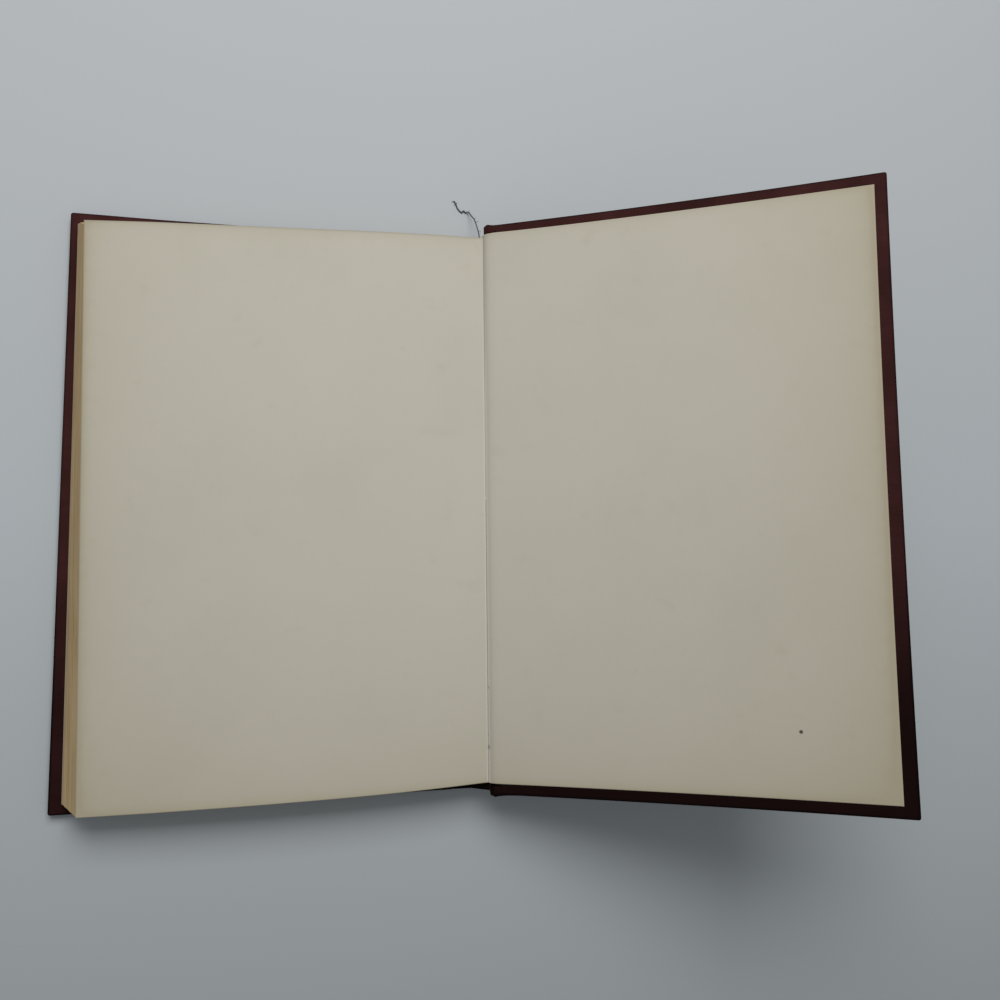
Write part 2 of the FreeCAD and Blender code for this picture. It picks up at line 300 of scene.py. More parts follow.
def on_spine(along_slope, along, outward):
    """Spine's coordinates: up the slope of the leaning block, to the head with its slip, and outwards."""
    slope = np.array([BLOCK_LEAN, BLOCK_THICK]) / SPINE_WIDTH
    x = FRONT_PIVOT[0] + slope[0] * along_slope + slope[1] * outward
    z = BLOCK_BASE + slope[1] * along_slope - slope[0] * outward
    return np.stack([x, along + SPINE_SLIP + 0 * x, z], axis=-1)


def hollow_depth(across, bow):
    """Depth of a cover's hollow: a parabola that is bow deep halfway across."""
    share = across / COVER_WIDTH
    return 4 * bow * share * (1 - share)


def block_plan(plan, spine_x, share, side):
    """Point of the block's plan: share 0 at the spine to 1 at the fore edge, side -1 tail to 1 head."""
    offset, slope, skew = plan
    half = BLOCK_HEIGHT / 2
    head = np.array([spine_x - BLOCK_WIDTH * math.cos(slope) - half * math.sin(skew),
                     offset - BLOCK_WIDTH * math.sin(slope) + half * math.cos(skew)])
    tail = np.array([spine_x - BLOCK_WIDTH * math.cos(slope) + half * math.sin(skew),
                     offset - BLOCK_WIDTH * math.sin(slope) - half * math.cos(skew)])
    spine = np.stack([spine_x + 0 * side, offset + half * side], axis=-1)
    up = ((side + 1) / 2)[..., None]
    fore = head * up + tail * (1 - up)
    return spine + (fore - spine) * share[..., None]


def block_crown(share):
    """Rise of the crowned top at a share of the way to the fore edge, smooth through its stations."""
    fine = np.linspace(0, 1, 201)
    rise = np.interp(fine, CROWN_STATIONS, CROWN_SHARES)
    kernel = np.hanning(31) / np.hanning(31).sum()
    padded = np.concatenate([-rise[15:0:-1], rise, -rise[-2:-17:-1]])
    return BLOCK_CROWN * np.interp(share, fine, np.convolve(padded, kernel, mode="valid"))


def leaf_shift(share, side):
    """Shift of the top leaf's ends along y: its tail by the curve, its head by 0.45 mm near the spine."""
    tail = np.polynomial.polynomial.polyval(share, TAIL_CURVE) * smooth_step(-0.4, -1, side)
    head = 0.45 * (1 - smooth_step(0.1, 0.6, share)) * smooth_step(0.4, 1, side)
    return (head - tail) * MM


def smooth_line(points, rounds, step):
    """Open line through a smoothed corner chain: corners cut to their quarter points, then even steps."""
    line = np.asarray(points, float)
    for _ in range(rounds):
        near = 0.75 * line[:-1] + 0.25 * line[1:]
        far = 0.25 * line[:-1] + 0.75 * line[1:]
        cut = np.stack([near, far], axis=1).reshape(-1, line.shape[1])
        line = np.concatenate([line[:1], cut[1:-1], line[-1:]])
    run = distance_run(line)
    even = np.linspace(0, run[-1], int(round(run[-1] / step)) + 1)
    return points_at(even, run, line), even


def new_material(name):
    """Empty node material with its Principled shader and output."""
    material = bpy.data.materials.new(name)
    material.use_nodes = True
    tree = material.node_tree
    return material, tree, tree.nodes["Principled BSDF"]


def ramp(tree, source, stops):
    """Colour ramp on a source socket, with (place, linear colour) stops."""
    made = tree.nodes.new("ShaderNodeValToRGB")
    elements = made.color_ramp.elements
    while len(elements) < len(stops):
        elements.new(0.5)
    for element, (place, colour) in zip(elements, stops):
        element.position = place
        element.color = (*colour, 1)
    tree.links.new(source, made.inputs["Fac"])
    return made.outputs["Color"]


def noise(tree, vector, scale, detail, roughness):
    """Factor of a noise texture on a vector."""
    made = tree.nodes.new("ShaderNodeTexNoise")
    made.inputs["Scale"].default_value = scale
    made.inputs["Detail"].default_value = detail
    made.inputs["Roughness"].default_value = roughness
    tree.links.new(vector, made.inputs["Vector"])
    return made.outputs["Fac"]


def maths(tree, operation, *values, clamp=False):
    """Math node on sockets and numbers."""
    made = tree.nodes.new("ShaderNodeMath")
    made.operation = operation
    made.use_clamp = clamp
    for socket, value in zip(made.inputs, values):
        if isinstance(value, (int, float)):
            socket.default_value = value
        else:
            tree.links.new(value, socket)
    return made.outputs["Value"]


def mix(tree, factor, first, second):
    """Colour mix of two colours or sockets by a factor."""
    made = tree.nodes.new("ShaderNodeMix")
    made.data_type = "RGBA"
    for socket, value in ((made.inputs["Factor"], factor), (made.inputs[6], first), (made.inputs[7], second)):
        if isinstance(value, (int, float)):
            socket.default_value = value
        elif isinstance(value, tuple):
            socket.default_value = (*value, 1)
        else:
            tree.links.new(value, socket)
    return made.outputs[2]


def bumped(tree, shader, height, distance):
    """Bump of a height socket on a shader's normal."""
    made = tree.nodes.new("ShaderNodeBump")
    made.inputs["Distance"].default_value = distance
    tree.links.new(height, made.inputs["Height"])
    tree.links.new(made.outputs["Normal"], shader.inputs["Normal"])


def finished(tree, shader, colour, roughness, specular=0.5):
    """Colour, roughness and specular level of a shader."""
    tree.links.new(colour, shader.inputs["Base Color"])
    shader.inputs["Roughness"].default_value = roughness
    shader.inputs["Specular IOR Level"].default_value = specular


def coordinates(tree, kind):
    """Object or UV coordinates, in metres."""
    return tree.nodes.new("ShaderNodeTexCoord").outputs[kind]


def stretched(tree, vector, scale):
    """Vector scaled along its axes."""
    made = tree.nodes.new("ShaderNodeMapping")
    made.inputs["Scale"].default_value = scale
    tree.links.new(vector, made.inputs["Vector"])
    return made.outputs["Vector"]


def attribute(tree, name):
    """Vertex value by name."""
    made = tree.nodes.new("ShaderNodeAttribute")
    made.attribute_name = name
    return made.outputs["Fac"]


def spot(tree, place, centre, radius):
    """Share of a round spot about a point: 1 - (distance / radius)^2, held above 0."""
    apart = tree.nodes.new("ShaderNodeVectorMath")
    apart.operation = "DISTANCE"
    apart.inputs[1].default_value = (*centre, 0)
    tree.links.new(place, apart.inputs[0])
    ratio = maths(tree, "DIVIDE", apart.outputs["Value"], radius)
    return maths(tree, "SUBTRACT", 1.0, maths(tree, "MULTIPLY", ratio, ratio), clamp=True)


def make_endpaper_material():
    """Matt cream paper: mottling, fibres, browned edges and spots, with painted shade and a painted highlight
    by values.
    """
    material, tree, shader = new_material("endpaper_cream")
    place = coordinates(tree, "Object")
    cloud = noise(tree, place, 22.0, 4.0, 0.6)
    colour = ramp(tree, cloud, ((0.3, (0.455, 0.430, 0.364)), (0.5, (0.470, 0.444, 0.377)),
                                (0.72, (0.480, 0.452, 0.391))))
    fleck = noise(tree, place, 900.0, 3.0, 0.7)
    colour = mix(tree, maths(tree, "MULTIPLY", maths(tree, "SUBTRACT", fleck, 0.5), 0.16, clamp=True),
                 colour, (0.30, 0.27, 0.21))
    fox = noise(tree, place, 130.0, 2.0, 0.5)
    spots = maths(tree, "MULTIPLY", maths(tree, "SUBTRACT", fox, 0.63, clamp=True), 1.1, clamp=True)
    colour = mix(tree, spots, colour, (0.38, 0.34, 0.25))
    # browned edges, darker towards the fore edges, and painted shade towards the tail
    colour = mix(tree, maths(tree, "MULTIPLY", attribute(tree, "toning_and_shade"), 0.75, clamp=True),
                 colour, (0.315, 0.268, 0.175))
    # painted highlight: the paper made paler on the crease
    colour = mix(tree, attribute(tree, "pale"), colour, (0.660, 0.625, 0.550))
    # painted shade in the folds, in the gutter and along the flyleaf's head edge
    colour = mix(tree, attribute(tree, "paper_shade"), colour, (0.145, 0.132, 0.100))
    sheet = coordinates(tree, "UV")
    for centre, radius, amount in ENDPAPER_SPOTS:
        share = maths(tree, "MULTIPLY", spot(tree, sheet, centre, radius), amount)
        share = maths(tree, "MULTIPLY", share, attribute(tree, "spotted"))
        colour = mix(tree, share, colour, (0.060, 0.052, 0.036))
    finished(tree, shader, colour, 0.86, 0.25)
    fibre = noise(tree, stretched(tree, place, (1.0, 2.2, 1.0)), 1500.0, 4.0, 0.65)
    relief = maths(tree, "ADD", maths(tree, "MULTIPLY", fibre, 0.5), maths(tree, "MULTIPLY", cloud, 1.5))
    bumped(tree, shader, relief, 0.00006)
    return material


def make_page_edge_material():
    """Trimmed leaf edges: tan streaks that follow the leaves, with painted shade in the gaps between leaves,
    deeper between gatherings.
    """
    material, tree, shader = new_material("page_edges_tan")
    place = coordinates(tree, "UV")
    streak = noise(tree, stretched(tree, place, (14.0, 2600.0, 1.0)), 1.0, 4.0, 0.65)
    cloud = noise(tree, stretched(tree, place, (1.0, 3.0, 1.0)), 40.0, 3.0, 0.5)
    tone = maths(tree, "ADD", maths(tree, "MULTIPLY", streak, 0.65), maths(tree, "MULTIPLY", cloud, 0.35))
    colour = ramp(tree, tone, ((0.30, (0.440, 0.305, 0.155)), (0.5, (0.530, 0.380, 0.200)),
                               (0.70, (0.610, 0.455, 0.262))))
    # painted shade in the gaps between leaves and gatherings
    colour = mix(tree, attribute(tree, "gap"), colour, (0.150, 0.098, 0.050))
    finished(tree, shader, colour, 0.9, 0.2)
    bumped(tree, shader, streak, 0.00008)
    return material


def make_book_cloth_material():
    """Dark maroon book cloth: plain weave of fine threads, cloudy, with painted shade: almost black round the
    edges and darker towards the tail.
    """
    material, tree, shader = new_material("book_cloth_maroon")
    place = coordinates(tree, "UV")
    pitch = 2 * math.pi / (0.42 * MM)
    split = tree.nodes.new("ShaderNodeSeparateXYZ")
    wobble = noise(tree, place, 260.0, 2.0, 0.5)
    tree.links.new(place, split.inputs["Vector"])
    shift = maths(tree, "MULTIPLY", wobble, 5.0)
    warp = maths(tree, "SINE", maths(tree, "ADD", maths(tree, "MULTIPLY", split.outputs["X"], pitch), shift))
    weft = maths(tree, "SINE", maths(tree, "ADD", maths(tree, "MULTIPLY", split.outputs["Y"], pitch), shift))
    weave = maths(tree, "MULTIPLY_ADD", maths(tree, "MULTIPLY", warp, weft), 0.25, 0.5)
    slub = noise(tree, stretched(tree, place, (150.0, 2400.0, 1.0)), 1.0, 3.0, 0.6)
    cloud = noise(tree, place, 34.0, 4.0, 0.62)
    tone = maths(tree, "ADD", maths(tree, "MULTIPLY", cloud, 0.6),
                 maths(tree, "ADD", maths(tree, "MULTIPLY", slub, 0.2), maths(tree, "MULTIPLY", weave, 0.2)))
    colour = ramp(tree, tone, ((0.32, (0.0250, 0.0085, 0.0075)), (0.5, (0.0410, 0.0135, 0.0125)),
                               (0.66, (0.0600, 0.0200, 0.0185))))
    # painted shade: near-black mixed in at the edges, over the back cover and towards the tail
    colour = mix(tree, attribute(tree, "rim"), colour, (0.0040, 0.0015, 0.0015))
    finished(tree, shader, colour, 0.7, 0.03)
    relief = maths(tree, "ADD", weave, maths(tree, "MULTIPLY", slub, 0.7))
    bumped(tree, shader, relief, 0.00007)
    return material


def flecked_material(name, speck, dark, light, roughness, relief=None):
    """Matt finish with flecks from dark to light, and fine relief where a noise and its depth are given."""
    material, tree, shader = new_material(name)
    place = coordinates(tree, "Object")
    colour = ramp(tree, noise(tree, place, *speck), ((0.35, dark), (0.65, light)))
    finished(tree, shader, colour, roughness)
    if relief:
        *grain, depth = relief
        bumped(tree, shader, noise(tree, place, *grain), depth)
    return material


def make_board_material():
    """Grey pulp board under the cloth: coarse flecks."""
    return flecked_material("pulp_board", (700.0, 4.0, 0.7), (0.24, 0.21, 0.17), (0.40, 0.36, 0.29), 0.95)


def make_lining_material():
    """Open-weave spine lining, stiff with old glue."""
    return flecked_material("spine_lining_mull", (320.0, 4.0, 0.7), (0.30, 0.22, 0.13), (0.55, 0.48, 0.36),
                            0.8, (1400.0, 2.0, 0.5, 0.0001))


def make_thread_material():
    """Grey twisted sewing thread, fuzzy and unevenly dyed."""
    return flecked_material("thread_grey", (900.0, 3.0, 0.7), (0.030, 0.030, 0.034), (0.085, 0.084, 0.088),
                            0.9, (4200.0, 3.0, 0.6, 0.00008))


def make_floor_material():
    """Pale bluish grey table with fine grain, and painted shade that darkens it towards the tail of the book.
    """
    material, tree, shader = new_material("table_grey")
    place = coordinates(tree, "Object")
    split = tree.nodes.new("ShaderNodeSeparateXYZ")
    tree.links.new(place, split.inputs["Vector"])
    # painted shade: the table darker towards the tail of the book
    fall = maths(tree, "MULTIPLY_ADD", split.outputs["Y"], 2.2, 0.55, clamp=True)
    colour = ramp(tree, fall, ((0.0, (0.290, 0.315, 0.325)), (0.3, (0.365, 0.390, 0.405)),
                               (0.55, (0.418, 0.447, 0.466)), (1.0, (0.412, 0.430, 0.447))))
    grain = noise(tree, place, 1400.0, 2.0, 0.6)
    colour = mix(tree, maths(tree, "MULTIPLY", grain, 0.08), colour, (0.20, 0.21, 0.22))
    finished(tree, shader, colour, 0.8, 0.2)
    return material


def make_board(name, bow, place, material):
    """Pulp board inside a cover's cloth: the cover's slab less the cloth's thickness all round."""
    shares = np.linspace(CLOTH_THICK, COVER_WIDTH - CLOTH_THICK, 40)
    x, y = np.meshgrid(shares, np.linspace(-1, 1, 40) * (COVER_HEIGHT / 2 - CLOTH_THICK))
    depth = hollow_depth(x, bow)
    inner, outer = place(x, y, -CLOTH_THICK - depth), place(x, y, OUTER_LEVEL + CLOTH_THICK - depth)
    return closed_shell(name, inner, outer, np.stack([x, y], axis=-1), material)


def cloth_painted_shade(from_edge, y, tone):
    """Share of the cloth's painted shade: near black at its edges, a cover's share all over, and more towards
    the tail.
    """
    dark, shade = tone
    edge = 0.75 * np.exp(-(np.maximum(from_edge, 0) / EDGE_SHADE_REACH) ** 2)
    return np.clip(edge + dark + shade * smooth_step(0.0, -SHADE_REACH, y), 0, 1)


def make_cover_cloth(name, bow, place, seed, material, tone):
    """Cloth-covered board as one closed slab in the cover's coordinates.

    Its plan is a rectangle with rounded fore corners.  Both faces stand back from
    their levels by a quarter round at the outline, and the edge joins the rounds.
    They are hollowed by the cover's bow, and shallow waves, a mitred seam at
    each fore corner and a recess under the pastedown are added.
    """
    rims = np.concatenate([round_rims(EDGE_ROUND, 6), np.linspace(EDGE_ROUND, 4.6 * MM, 14)[1:]])
    shares = rimmed(0.0, COVER_WIDTH, rims, 2.2 * MM)
    alongs = rimmed(-COVER_HEIGHT / 2, COVER_HEIGHT / 2, rims, 2.2 * MM)
    x, y = np.meshgrid(shares, alongs)
    into_corner = np.maximum(0, np.abs(y) - (COVER_HEIGHT / 2 - CORNER_RADIUS))
    short = CORNER_RADIUS - np.sqrt(CORNER_RADIUS ** 2 - into_corner ** 2)
    x = x - smooth_step(COVER_WIDTH / 2, COVER_WIDTH, x) * short

    fore, end = COVER_WIDTH - x, COVER_HEIGHT / 2 - np.abs(y)
    to_corner = np.hypot(np.maximum(CORNER_RADIUS - fore, 0), np.maximum(CORNER_RADIUS - end, 0))
    in_corner = (fore < CORNER_RADIUS) & (end < CORNER_RADIUS)
    depth_in = np.where(in_corner, CORNER_RADIUS - to_corner, np.minimum(np.minimum(fore, end), x))
    stand_back = round_stand_back(depth_in)

    long_waves = random_waves(seed, 9, 40 * MM, 160 * MM)(x, y)
    short_waves = random_waves(seed + 1, 14, 6 * MM, 30 * MM)(x, y)
    flat = smooth_step(0, 3 * MM, depth_in)
    mitre = np.exp(-((fore - end) / (0.28 * MM)) ** 2) * (fore < TURN_IN)
    mitre = mitre * smooth_step(0.4 * MM, 2 * MM, depth_in)
    recess = smooth_step(TURN_IN - 0.5 * MM, TURN_IN + 0.5 * MM, np.minimum(fore, end))

    depth = hollow_depth(x, bow)
    inner = (-depth - stand_back + 0.02 * MM * short_waves * flat
             - 0.04 * MM * mitre - 0.06 * MM * recess - 0.02 * MM)
    outer = (OUTER_LEVEL - depth + stand_back
             + 0.03 * MM * long_waves * flat + 0.02 * MM * short_waves * flat)
    outer = np.maximum(outer, OUTER_LEVEL - depth)
    face = place(x, y, inner)
    # rim is painted shade: at the edges, over the cover all over, and towards the tail
    rim = cloth_painted_shade(np.minimum(fore, end), face[..., 1], tone)
    uv = np.stack([x, y], axis=-1)
    return closed_shell(name, face, place(x, y, outer), uv, material, {"rim": rim})


def make_joint_cloth(name, rows, strip_end, bumps, slip, height, material, seed):
    """Cloth carried across a joint, with its turned-in ends.

    Each row is outer x and z, inner x and z, and a shift in x that grows from
    nothing at the head to its whole at the tail; the rows are smoothed into
    lines.  The sheet is one cloth thick along the outer line, and over its last
    few millimetres its inner side rises to the inner line, where the cloth is
    turned in.  Both ends close by a half round, and slope to the spine cloth's
    ends near the line's strip_end, 0 or -1.  Each bump is an end, -1 tail or 1
    head, and a place, a width and a height: h exp(-((x - p) / w)^2) more cloth there.
    """
    line, run = smooth_line(np.array(rows) * MM, 4, 0.2 * MM)
    outer, inner, shift = line[:, 0:2], line[:, 2:4], line[:, 4]
    closing = 0.5 * MM
    rims = np.concatenate([round_rims(closing, 7),
                           [0.9 * MM, 1.6 * MM, 2.4 * MM, ROLLED_END, 3.6 * MM, 4.2 * MM]])
    alongs = rimmed(-height / 2, height / 2, rims, 2.5 * MM)
    share = alongs / (height / 2)
    from_end = height / 2 - np.abs(alongs)
    turned = (1 - smooth_step(ROLLED_END - 0.2 * MM, ROLLED_END + 0.5 * MM, from_end))[None, :, None]
    closed = np.sqrt(1 - (1 - np.clip(from_end / closing, 0, 1)) ** 2)[None, :, None]

    tangent = np.gradient(outer, axis=0)
    inward = np.stack([-tangent[:, 1], tangent[:, 0]], axis=1)
    inward /= np.linalg.norm(inward, axis=1, keepdims=True)
    puckers = random_waves(seed, 10, 2 * MM, 12 * MM)(run[:, None], alongs[None, :])[..., None]
    single = outer + inward * CLOTH_THICK
    inner_skin = single[:, None, :] * (1 - turned) + inner[:, None, :] * turned
    outer_skin = outer[:, None, :] + 0 * inner_skin
    middle = (inner_skin + outer_skin) / 2
    half_thick = (inner_skin - outer_skin) / 2 * closed
    wave = inward[:, None, :] * puckers * 0.02 * MM

    from_strip = np.hypot(*(outer - outer[strip_end]).T)[:, None]
    near_strip = 1 - smooth_step(0.3 * MM, np.where(share > 0, 1.8, 1.1)[None, :] * MM, from_strip)
    spine_half = STRIP_HEIGHT / 2 + CLOTH_THICK
    y = (slip + (SPINE_SLIP - slip) * near_strip
         + (height / 2 + (spine_half - height / 2) * near_strip) * share[None, :])
    for bump_end, peak_x, peak_width, peak_height in bumps:
        from_peak = (outer[:, :1] - peak_x * MM) / (peak_width * MM)
        peak = peak_height * MM * np.exp(-from_peak ** 2) * (1 - near_strip)
        y = y + bump_end * peak * smooth_step(0.97, 1, bump_end * share)[None, :]

    def skin(side):
        flat = middle + side * half_thick + wave
        x = flat[..., 0] + shift[:, None] * (1 - share[None, :]) / 2
        return np.stack([x, y, flat[..., 1]], axis=-1)

    uv = np.stack(np.meshgrid(run, alongs, indexing="ij"), axis=-1)
    # rim is painted shade: at the ends, all over, and towards the tail
    rim = cloth_painted_shade(from_end[None, :] + 0 * y, y, BACK_COVER_SHADE)
    return closed_shell(name, skin(-1), skin(1), uv, material, {"rim": rim})


def make_spine_cloth(material):
    """Cloth over the spine strip: a closed slab with rounded edges and puckers, its tail trimmed askew."""
    rims = round_rims(EDGE_ROUND, 5)
    widths = rimmed(STRIP_START, STRIP_START + STRIP_WIDTH, rims, 0.5 * MM)
    half = STRIP_HEIGHT / 2 + CLOTH_THICK
    alongs = rimmed(-half, half, np.concatenate([rims, [0.8 * MM, 1.4 * MM, 2.2 * MM]]), 2.5 * MM)
    w, y = np.meshgrid(widths, alongs, indexing="ij")
    from_side = np.minimum(w - STRIP_START, STRIP_START + STRIP_WIDTH - w)
    stand_back = round_stand_back(np.minimum(from_side, half - np.abs(y)))
    puckers = random_waves(31, 12, 3 * MM, 20 * MM)(w, y)
    outer = STRIP_OUTER - stand_back - 0.03 * MM * (puckers + 1)
    inner = STRIP_OUTER - STRIP_THICK - 2 * CLOTH_THICK + stand_back
    uv = np.stack([w, y], axis=-1)
    # rim is painted shade: at the ends, all over, and towards the tail
    rim = cloth_painted_shade(half - np.abs(y), y, BACK_COVER_SHADE)
    up = (w - STRIP_START) / STRIP_WIDTH
    y = y - (0.45 - 0.75 * up) * MM * smooth_step(-0.97, -1, y / half)
    return closed_shell("spine_cloth_worn", on_spine(w, y, outer), on_spine(w, y, inner), uv, material,
                        {"rim": rim})


def make_rear_endpaper(material):
    """Rear endpaper as one sheet: flyleaf over the crowned block, fold in the joint, pastedown.

    The flyleaf is the block's ruled plan with its crown; the fold is a cubic
    curve drawn towards one knee in the gutter; the pastedown follows the
    hollowed cover.  Shallow waves lift the free leaf by less than its thickness.
    """
    side = stretches((-1, -0.985, 0.985, 1), (7, 118, 7))
    fly = 1 - stretches((0, 0.025, 0.97, 1), (8, 96, 10))
    share, across = np.meshgrid(fly, side, indexing="ij")
    plan = block_plan(TOP_PLAN, SPINE_TOP_X, share, across)
    off = CREASE_OFF + CREASE_TURN * (1 - side) / 2
    plan[..., 0] += off * (1 - smooth_step(0.0, 0.03, share))
    lift = 0.05 * MM * (random_waves(3, 8, 50 * MM, 150 * MM)(plan[..., 0], plan[..., 1]) + 1)
    free = smooth_step(0.0, 0.2, share)
    level = BLOCK_TOP + PAPER_THICK / 2 + block_crown(share) + lift * free
    leaf = np.concatenate([plan, level[..., None]], axis=-1)
    leaf[..., 1] += leaf_shift(share, side)
    leaf[..., 1] += 0.5 * MM * (1 - smooth_step(0.0, 0.012, share)) * smooth_step(0.985, 1.0, side)

    reach = COVER_WIDTH - PASTEDOWN_FORE_BORDER
    steps = stretches((0, 0.03, 0.975, 1), (10, 96, 8))
    gone, across_cover = np.meshgrid(steps * reach, side, indexing="ij")
    fore_skew = 0.35 * MM * across_cover * gone / reach
    along = PASTEDOWN_SLIP + across_cover * (PASTEDOWN_HEIGHT / 2 - 0.2 * MM * gone / reach)
    along = along - 0.27 * MM * (gone / reach) ** 2 * np.clip(across_cover, 0, 1)
    along = along + 0.3 * MM * np.exp(-gone / (15 * MM)) * smooth_step(0.9, 1.0, side)
    lay = PASTE_FILM + PAPER_THICK / 2 - hollow_depth(gone, BACK_COVER_BOW)
    lay = lay + 0.02 * MM * (random_waves(4, 10, 30 * MM, 120 * MM)(gone, along) + 1)
    pasted = on_back_cover(gone + fore_skew * (gone / reach), along, lay)

    turn = (np.linspace(0, 1, 30)[1:-1] ** 1.3)[:, None, None]
    start, end = leaf[-1], pasted[0]
    knee = end + REAR_KNEE
    fold = fold_curve(turn, start, start * 0.3 + knee * 0.7, knee * 0.9 + end * 0.1, end)
    swing = smooth_step(0.0, 0.1, turn[..., 0])
    fold[..., 1] = start[:, 1] * (1 - swing) + end[:, 1] * swing
    middle = np.concatenate([leaf, fold, pasted])

    run = distance_run(middle[:, len(side) // 2])
    r, y = np.meshgrid(run, side * BLOCK_HEIGHT / 2, indexing="ij")
    uv = np.stack([r - run[len(leaf) - 1], y], axis=-1)
    ragged = random_waves(8, 16, 2 * MM, 25 * MM)(r, y)
    to_end = BLOCK_HEIGHT / 2 - np.abs(y)
    to_fore = np.minimum(r, run[-1] - r)
    # Browned edges, darker towards each fore edge, and painted shade towards the tail
    toning_and_shade = (0.75 * np.exp(-to_fore / ((1.6 + 0.8 * ragged) * MM))
              + 0.45 * np.exp(-to_end / ((1.2 + 0.6 * ragged) * MM))
              + 0.16 * np.exp(-to_fore / (14 * MM)) + 0.10 * np.exp(-to_end / (12 * MM))
              + 0.20 * np.exp(-r / (50 * MM)) + 0.42 * np.exp(-(run[-1] - r) / (50 * MM))
              + 0.36 * np.exp(-(y + BLOCK_HEIGHT / 2) / (35 * MM)))
    from_crease = middle[..., 0] - (SPINE_TOP_X + off)
    at_knee = middle[..., 0] - (BACK_PIVOT[0] + 1.1 * MM)
    to_tail = (1 - side) / 2
    # painted shade: a soft band beside the crease, a line at the knee, the gutter, and a line along the
    # flyleaf's head edge
    crease = np.exp(-((from_crease - (0.35 + 0.55 * to_tail) * MM) / ((0.25 + 0.3 * to_tail) * MM)) ** 2)
    upper_crease = np.exp(-(at_knee / (0.17 * MM)) ** 2) * smooth_step(-0.5, -0.8, side)
    gutter = np.exp(-((from_crease - 0.6 * MM) / (0.6 * MM)) ** 2)
    under = 0.5 * np.exp(-to_end / (0.22 * MM)) * (y > 0) * (from_crease < 0)
    paper_shade = 0.06 * crease * (0.8 + 0.4 * ragged) + 0.14 * upper_crease + 0.04 * gutter + under
    # painted highlight: the paper made paler on the crease, more towards the tail
    pale = np.exp(-((from_crease - 0.1 * MM) / (0.5 * MM)) ** 2) * smooth_step(0.9, 0.3, side)
    attributes = {"toning_and_shade": np.clip(toning_and_shade, 0, 1), "paper_shade": np.clip(paper_shade, 0, 1),
                  "spotted": np.ones_like(paper_shade), "pale": 0.9 * pale}
    return paper_sheet("rear_endpaper_sheet", middle, uv, material, attributes)


def make_front_endpaper(material):
    """Front endpaper as one sheet: flyleaf under the block, fold in the joint, pastedown on the cover."""
    side = stretches((-1, -0.985, 0.985, 1), (5, 70, 5))
    fly = 1 - stretches((0, 0.985, 1), (60, 6))
    share, across = np.meshgrid(fly, side, indexing="ij")
    plan = block_plan(BASE_PLAN, FRONT_PIVOT[0], share, across)
    level = LEAF_BASE + PAPER_THICK / 2 + 0 * share
    leaf = np.concatenate([plan, level[..., None]], axis=-1)

    reach = COVER_WIDTH - PASTEDOWN_FORE_BORDER
    steps = stretches((0, 0.03, 1), (6, 64))
    gone, across_cover = np.meshgrid(steps * reach, -side, indexing="ij")
    along = PASTEDOWN_SLIP + across_cover * PASTEDOWN_HEIGHT / 2
    pasted = on_front_cover(gone, along, PASTE_FILM + PAPER_THICK / 2 + 0 * gone)

    turn = np.linspace(0, 1, 14)[1:-1, None, None]
    start, end = leaf[-1], pasted[0]
    leave = start + np.array([0.55, 0, -0.05]) * MM
    enter = end + np.array([1.6, 0, -0.25]) * MM
    fold = fold_curve(turn, start, leave, enter, end)
    middle = np.concatenate([leaf, fold, pasted])
    run = distance_run(middle[:, len(side) // 2])
    uv = np.stack(np.meshgrid(run, side * BLOCK_HEIGHT / 2, indexing="ij"), axis=-1)
    r, y = uv[..., 0], uv[..., 1]
    ragged = random_waves(18, 16, 2 * MM, 25 * MM)(r, y)
    edge = np.minimum(np.minimum(r, run[-1] - r), BLOCK_HEIGHT / 2 - np.abs(y))
    toning_and_shade = 0.7 * np.exp(-edge / ((1.6 + 0.8 * ragged) * MM)) + 0.15 * np.exp(-edge / (14 * MM))
    # painted shade in the middle of the fold
    paper_shade = 0.12 * np.exp(-((r - run[len(leaf) + len(fold) // 2]) / (0.6 * MM)) ** 2)
    attributes = {"toning_and_shade": np.clip(toning_and_shade, 0, 1), "paper_shade": paper_shade}
    return paper_sheet("front_endpaper_sheet", middle, uv, material, attributes)


def head_set_back(share, side, level):
    """Set-back of the block's head near the fore corner, under the overhanging flyleaf."""
    return 1.1 * MM * smooth_step(0.6, 1, share) * smooth_step(0.94, 1, side) * smooth_step(0.45, 0.95, level)


